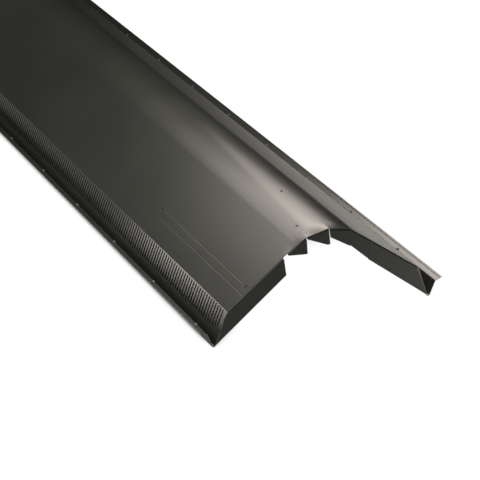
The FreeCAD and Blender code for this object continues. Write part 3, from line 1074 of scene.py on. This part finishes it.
@dataclass(frozen=True)
class Studio:
    """Floor, surroundings and lamps.

    A soft step is given by where it starts and ends, some with the results there.
    """

    floor_half: float = 12.0
    floor_colour: Colour = (0.8, 0.8, 0.8, 1.0)
    ambient: float = 0.45
    mirror_sky: float = 0.01
    # Painted reflections: tint and strengths of the floor's glow in mirror views, grey left, pools right.
    mirror_tint: Colour = (1.0, 0.94, 0.88, 1.0)
    mirror_left: Numbers = (-0.65, -0.3, 0.25, 0.8)
    mirror_right: Pair = (0.0, 0.15)
    pools: tuple[PaintedLightPool, ...] = (PaintedLightPool(0.18, -0.45, 0.17, 0.33, 0.84), PaintedLightPool(0.18, -0.20, 0.12, 0.55, 0.26))
    pool_end: float = 1.8
    # Painted shade and light on the floor: occlusion shadow, shade beside the walls, light behind the near
    # end.
    footprint: Pair = (0.124, 0.606)
    rim: float = 0.008
    sky_reach: float = 0.35
    sky_samples: int = 16
    sky_share: Numbers = (0.05, 0.25, 0.02, 1.0)
    under_share: float = 0.6
    wedge_edge: Numbers = (-0.018, 0.010, 1.0, 0.0)
    wedge_depth: Numbers = (0.14, 0.22, 1.0, 0.0)
    wall_shade: Pair = (0.06, 0.095)
    wall_dark: float = 0.98
    wall_end: float = 0.04
    lamps: tuple[Lamp, ...] = (
        Lamp("strip_softbox", (0.066, 0.172, 0.727), (-0.03, -0.56, 0.10), (0.988, 0.236), 4.75, WARM),
        Lamp("crown_softbox", (0.103, -0.364, 0.45), (-0.03, -0.56, 0.10), (0.257, 0.654), 1.22, WARM),
        Lamp("side_softbox", (-0.37, -0.23, 0.07), (-0.13, -0.53, 0.03), (0.16, 0.12), 0.48, WARM),
        Lamp("front_fill", (-1.3, -2.2, 1.3), (0.0, -0.25, 0.05), (1.2, 1.2), 16.0),
        Lamp("left_fill", (-1.2, -0.3, 0.85), (-0.1, -0.2, 0.05), (0.8, 0.8), 9.7))

    def build(self) -> None:
        """Make the floor, surroundings and lamps."""
        self._floor()
        self._world()
        for lamp in self.lamps:
            lamp.build()

    def _painted_reflections(self, graph: Graph) -> Value:
        """Painted reflections: the floor's glow in mirror views, grey on the left, and on the right the
        painted pools of light.

        A pool goes from its level to nothing by the soft step of the distance from its middle, which is
        counted in its reaches.

        Args:
            graph: The floor's graph.

        Returns:
            The strength.
        """
        # Painted pools of light, seen only in mirror views.
        pools: Any = 0.0
        for pool in self.pools:
            scale = (1.0 / pool.wide, 1.0 / pool.long, 1.0)
            middle = (-pool.x / pool.wide, -pool.y / pool.long, 0.0)
            spot = graph.node(
                "ShaderNodeMapping", {"Vector": graph.place(), "Location": middle, "Scale": scale})
            away = graph.node("ShaderNodeVectorMath", {0: spot}, "Value", operation="LENGTH")
            pools = away.between(0.0, self.pool_end, pool.level, 0.0) + pools
        # Painted reflection on the left: grey graded along the length.
        left = graph.axis("Y").between(*self.mirror_left)
        return left + graph.axis("X").between(*self.mirror_right) * (pools - left)

    def _light(self, graph: Graph) -> Value:
        """Painted shade and light on the glowing floor: the share of its glow that it keeps.

        It is less where the vent shuts out the sky, a painted shadow from ambient occlusion that is darker
        still under the vent; least beside the slotted walls, a painted shade; and whole on a wedge behind the
        open near end, a painted pool of light.

        Args:
            graph: The floor's graph.

        Returns:
            The share.
        """
        across, along = graph.axis("X"), graph.axis("Y")
        reach, far = self.footprint
        wide, deep = across.size(), along + far
        # Painted shadow: the glow dimmed by ambient occlusion, more so under the vent.
        sky = graph.node(
            "ShaderNodeAmbientOcclusion", {"Distance": self.sky_reach}, "AO", samples=self.sky_samples)
        sky = (sky * wide.between(reach, reach + self.rim, self.under_share, 1.0)).between(*self.sky_share)
        # Painted shade beside the slotted walls, fading out at the ends.
        beside = wide.between(*self.wall_shade) * wide.between(reach, reach + self.rim, 1.0, 0.0)
        clear = sky * (1.0 - beside * along.size().between(far - self.wall_end, far, self.wall_dark, 0.0))
        # Painted light on a wedge of floor behind the open near end.
        wedge = (deep - across - reach).between(*self.wedge_edge) * deep.between(*self.wedge_depth)
        return clear + wedge * (1.0 - clear)

    def _floor(self) -> None:
        """Make the pale floor, which glows where the background shows and is matt to other light."""
        half = self.floor_half
        mesh = bpy.data.meshes.new("floor")
        corners = [(-half, -half, 0.0), (half, -half, 0.0), (half, half, 0.0), (-half, half, 0.0)]
        mesh.from_pydata(corners, [], [(0, 1, 2, 3)])
        floor = placed("floor", mesh)
        material = bpy.data.materials.new("pale_floor")
        graph = Graph(material)
        straight, mirror = graph.shown()
        # Painted shade and light: the glow carries the painted shadow and wedge, and in mirror views the
        # painted reflections.
        strength = self._light(graph) * (straight + mirror * self._painted_reflections(graph))
        tint = graph.blend(mirror, WHITE, self.mirror_tint)
        matt = graph.node("ShaderNodeBsdfDiffuse", {"Color": self.floor_colour})
        glow = graph.node("ShaderNodeEmission", {"Color": tint, "Strength": strength})
        both = graph.node("ShaderNodeMixShader", {0: straight + mirror, 1: matt, 2: glow})
        graph.make("ShaderNodeOutputMaterial", {"Surface": both})
        mesh.materials.append(material)

    def _world(self) -> None:
        """Make the surroundings: a white background, dark in mirror views, and a dim even glow as light."""
        world = bpy.data.worlds.new("studio")
        bpy.context.scene.world = world
        graph = Graph(world)
        straight, mirror = graph.shown()
        strength = self.ambient + straight * (1.0 - self.ambient) + mirror * (self.mirror_sky - self.ambient)
        sky = graph.node("ShaderNodeBackground", {"Color": WHITE, "Strength": strength})
        graph.make("ShaderNodeOutputWorld", {"Surface": sky})


@dataclass(frozen=True)
class View:
    """The camera, at the photograph's angle; angles are in degrees."""

    place: Triple = (-0.91031, -2.14702, 0.99786)
    yaw: float = 27.80
    pitch: float = 26.92
    roll: float = -1.17
    lens: float = 148.42
    sensor: float = 36.0

    def build(self) -> None:
        """Make the camera: turned from +Y by the yaw, tipped down by the pitch, rolled about its axis."""
        level, upright = Vector((1.0, 0.0, 0.0)), Vector((0.0, 0.0, 1.0))
        turns = ((upright, -self.yaw), (level, 90.0 - self.pitch), (upright, -self.roll))
        yaw, pitch, roll = (Quaternion(axis, math.radians(turn)) for axis, turn in turns)
        data = bpy.data.cameras.new("camera")
        data.lens = self.lens
        data.sensor_width = self.sensor
        camera = placed("camera", data)
        camera.rotation_mode = "QUATERNION"
        camera.rotation_quaternion = yaw @ pitch @ roll
        camera.location = self.place
        bpy.context.scene.camera = camera


def main() -> None:
    """Build the vent, the studio and the camera."""
    logging.basicConfig(level=logging.INFO)
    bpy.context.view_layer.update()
    sheet = SheetMesh(Section())
    roof = Roof(sheet, EndTabs(sheet))
    roof.build()
    for side in Side:
        LouvreSide(sheet, side).build(roof.fold_lines())
    vent = sheet.build("vent")
    vent.data.materials.append(CoilPaint().build())
    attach(vent, "root")
    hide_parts("vent_sheet")
    Studio().build()
    View().build()
    bpy.context.scene.view_settings.view_transform = "Standard"


if __name__ == "__main__":
    main()
